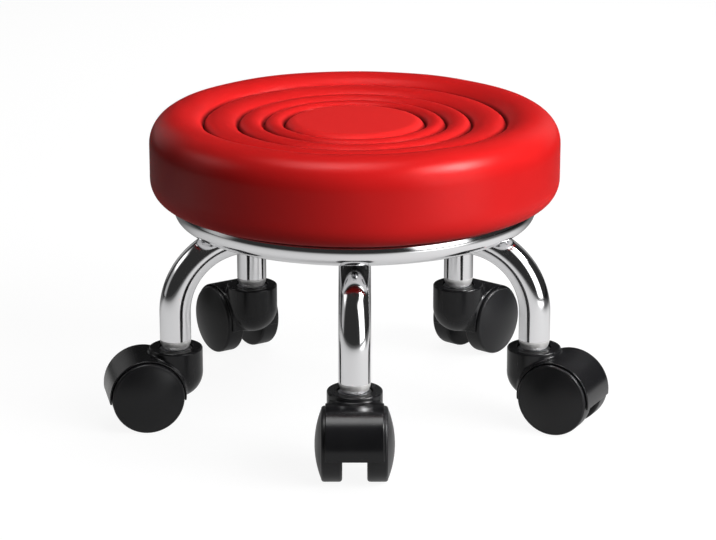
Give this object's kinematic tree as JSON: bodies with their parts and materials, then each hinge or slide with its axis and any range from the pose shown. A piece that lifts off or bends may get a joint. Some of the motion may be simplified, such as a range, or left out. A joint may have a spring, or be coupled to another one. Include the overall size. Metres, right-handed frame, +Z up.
{
  "type": "rolling stool",
  "caption": "Low stool with a round padded seat on a chromed ring and bent tube legs that end in swivel casters.",
  "frame": {"origin": "on the floor under the middle of the seat", "axes": "+Z up, the front leg points along -Y, +X to the right as seen from the front"},
  "size_m": [0.3587, 0.3425, 0.2167],
  "materials": {
    "vinyl": "smooth red vinyl",
    "foam": "open foam",
    "plywood": "raw plywood",
    "cloth": "black spunbond cloth",
    "chrome": "polished chrome plate",
    "steel": "bright zinc",
    "black_paint": "satin black",
    "caster_plastic": "gloss black",
    "wheel_plastic": "satin black"
  },
  "bodies": {
    "stool_frame": {"seat_cover": "vinyl", "seat_foam": "foam", "seat_board": "plywood", "dust_cloth": "cloth", "cover_staples": "steel", "tee_nuts": "steel", "seat_bolts": "steel", "seat_plate": "black_paint", "chrome_ring": "chrome", "leg_hub": "chrome", "leg_front": "chrome", "leg_right": "chrome", "leg_rear_right": "chrome", "leg_rear_left": "chrome", "leg_left": "chrome", "socket_front": "steel", "socket_right": "steel", "socket_rear_right": "steel", "socket_rear_left": "steel", "socket_left": "steel", "stem_front": "steel", "stem_right": "steel", "stem_rear_right": "steel", "stem_rear_left": "steel", "stem_left": "steel", "stem_washers": "steel", "grip_rings": "steel", "stem_clips": "steel"},
    "swivel_front": {"caster_front": "caster_plastic", "axle_front": "steel"},
    "roller_front_a": {"wheel_front_a": "wheel_plastic"},
    "roller_front_b": {"wheel_front_b": "wheel_plastic"},
    "swivel_right": {"caster_right": "caster_plastic", "axle_right": "steel"},
    "roller_right_a": {"wheel_right_a": "wheel_plastic"},
    "roller_right_b": {"wheel_right_b": "wheel_plastic"},
    "swivel_rear_right": {"caster_rear_right": "caster_plastic", "axle_rear_right": "steel"},
    "roller_rear_right_a": {"wheel_rear_right_a": "wheel_plastic"},
    "roller_rear_right_b": {"wheel_rear_right_b": "wheel_plastic"},
    "swivel_rear_left": {"caster_rear_left": "caster_plastic", "axle_rear_left": "steel"},
    "roller_rear_left_a": {"wheel_rear_left_a": "wheel_plastic"},
    "roller_rear_left_b": {"wheel_rear_left_b": "wheel_plastic"},
    "swivel_left": {"caster_left": "caster_plastic", "axle_left": "steel"},
    "roller_left_a": {"wheel_left_a": "wheel_plastic"},
    "roller_left_b": {"wheel_left_b": "wheel_plastic"}
  },
  "joints": [
    {"name": "swivel_front_turn", "type": "hinge", "parent": "stool_frame", "child": "swivel_front", "pos_m": [0, -0.1331, 0.0561], "axis": [0, 0, 1], "continuous": true},
    {"name": "roller_front_a_roll", "type": "hinge", "parent": "swivel_front", "child": "roller_front_a", "pos_m": [0, -0.1556, 0.0255], "axis": [1, 0, 0], "continuous": true},
    {"name": "roller_front_b_roll", "type": "hinge", "parent": "swivel_front", "child": "roller_front_b", "pos_m": [0, -0.1556, 0.0255], "axis": [1, 0, 0], "continuous": true},
    {"name": "swivel_right_turn", "type": "hinge", "parent": "stool_frame", "child": "swivel_right", "pos_m": [0.12659, -0.04113, 0.0561], "axis": [0, 0, 1], "continuous": true},
    {"name": "roller_right_a_roll", "type": "hinge", "parent": "swivel_right", "child": "roller_right_a", "pos_m": [0.14672, -0.05117, 0.0255], "axis": [0.4462, 0.8949, 0], "continuous": true},
    {"name": "roller_right_b_roll", "type": "hinge", "parent": "swivel_right", "child": "roller_right_b", "pos_m": [0.14672, -0.05117, 0.0255], "axis": [0.4462, 0.8949, 0], "continuous": true},
    {"name": "swivel_rear_right_turn", "type": "hinge", "parent": "stool_frame", "child": "swivel_rear_right", "pos_m": [0.07823, 0.10768, 0.0561], "axis": [0, 0, 1], "continuous": true},
    {"name": "roller_rear_right_a_roll", "type": "hinge", "parent": "swivel_rear_right", "child": "roller_rear_right_a", "pos_m": [0.09255, 0.12504, 0.0255], "axis": [-0.7716, 0.6361, 0], "continuous": true},
    {"name": "roller_rear_right_b_roll", "type": "hinge", "parent": "swivel_rear_right", "child": "roller_rear_right_b", "pos_m": [0.09255, 0.12504, 0.0255], "axis": [-0.7716, 0.6361, 0], "continuous": true},
    {"name": "swivel_rear_left_turn", "type": "hinge", "parent": "stool_frame", "child": "swivel_rear_left", "pos_m": [-0.07823, 0.10768, 0.0561], "axis": [0, 0, 1], "continuous": true},
    {"name": "roller_rear_left_a_roll", "type": "hinge", "parent": "swivel_rear_left", "child": "roller_rear_left_a", "pos_m": [-0.09065, 0.12644, 0.0255], "axis": [-0.8339, -0.5519, 0], "continuous": true},
    {"name": "roller_rear_left_b_roll", "type": "hinge", "parent": "swivel_rear_left", "child": "roller_rear_left_b", "pos_m": [-0.09065, 0.12644, 0.0255], "axis": [-0.8339, -0.5519, 0], "continuous": true},
    {"name": "swivel_left_turn", "type": "hinge", "parent": "stool_frame", "child": "swivel_left", "pos_m": [-0.12659, -0.04113, 0.0561], "axis": [0, 0, 1], "continuous": true},
    {"name": "roller_left_a_roll", "type": "hinge", "parent": "swivel_left", "child": "roller_left_a", "pos_m": [-0.14863, -0.04562, 0.0255], "axis": [0.1994, -0.9799, 0], "continuous": true},
    {"name": "roller_left_b_roll", "type": "hinge", "parent": "swivel_left", "child": "roller_left_b", "pos_m": [-0.14863, -0.04562, 0.0255], "axis": [0.1994, -0.9799, 0], "continuous": true}
  ]
}
